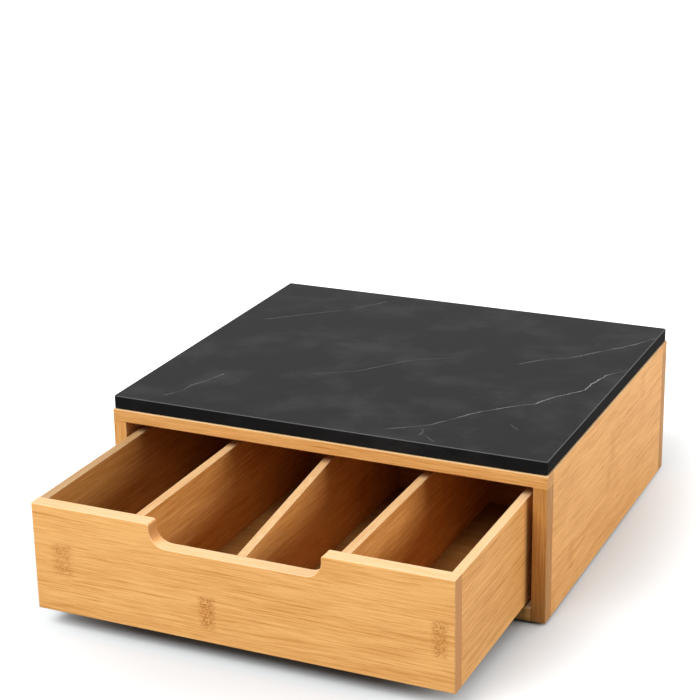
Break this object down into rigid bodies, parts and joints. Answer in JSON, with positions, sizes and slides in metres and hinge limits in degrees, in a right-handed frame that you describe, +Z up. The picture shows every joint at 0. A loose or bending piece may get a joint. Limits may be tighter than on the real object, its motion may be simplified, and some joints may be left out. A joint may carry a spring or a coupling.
{
  "type": "coffee pod drawer",
  "caption": "Countertop coffee pod drawer: a bamboo case with a stone top and one sliding drawer, divided front to back, with a finger notch in its front.",
  "frame": {"origin": "middle of the plan outline at rest, drawer part open, on the surface that the feet stand on", "axes": "+X to the right across the front, +Y from the drawer's front to the case's back, +Z up"},
  "size_m": [0.35, 0.448, 0.1268],
  "materials": {
    "bamboo_case": "satin lacquer",
    "bamboo_drawer": "satin lacquer",
    "stone_top": "honed black, thin pale veins",
    "foot_rubber": "matte",
    "slab_pad": "matte, self-adhesive",
    "dowel": "plain"
  },
  "bodies": {
    "case": {"marble_top": "stone_top", "slab_pads": "slab_pad", "case_top_panel": "bamboo_case", "case_bottom_panel": "bamboo_case", "case_left_side": "bamboo_case", "case_right_side": "bamboo_case", "case_back_panel": "bamboo_case", "front_top_rail": "bamboo_case", "front_bottom_rail": "bamboo_case", "front_left_stile": "bamboo_case", "front_right_stile": "bamboo_case", "back_top_rail": "bamboo_case", "back_bottom_rail": "bamboo_case", "back_left_stile": "bamboo_case", "back_right_stile": "bamboo_case", "left_glide_strip": "bamboo_case", "right_glide_strip": "bamboo_case", "foot_front_left": "foot_rubber", "foot_front_right": "foot_rubber", "foot_back_left": "foot_rubber", "foot_back_right": "foot_rubber", "case_dowels": "dowel", "frame_dowels": "dowel"},
    "drawer": {"drawer_front": "bamboo_drawer", "drawer_left_side": "bamboo_drawer", "drawer_right_side": "bamboo_drawer", "drawer_back": "bamboo_drawer", "drawer_bottom": "bamboo_drawer", "divider_1": "bamboo_drawer", "divider_2": "bamboo_drawer", "divider_3": "bamboo_drawer", "drawer_dowels": "dowel", "divider_dowels": "dowel"}
  },
  "joints": [
    {"name": "drawer_slide", "type": "slide", "parent": "case", "child": "drawer", "axis": [0, -1, 0], "range_m": [-0.138, 0.062]}
  ]
}
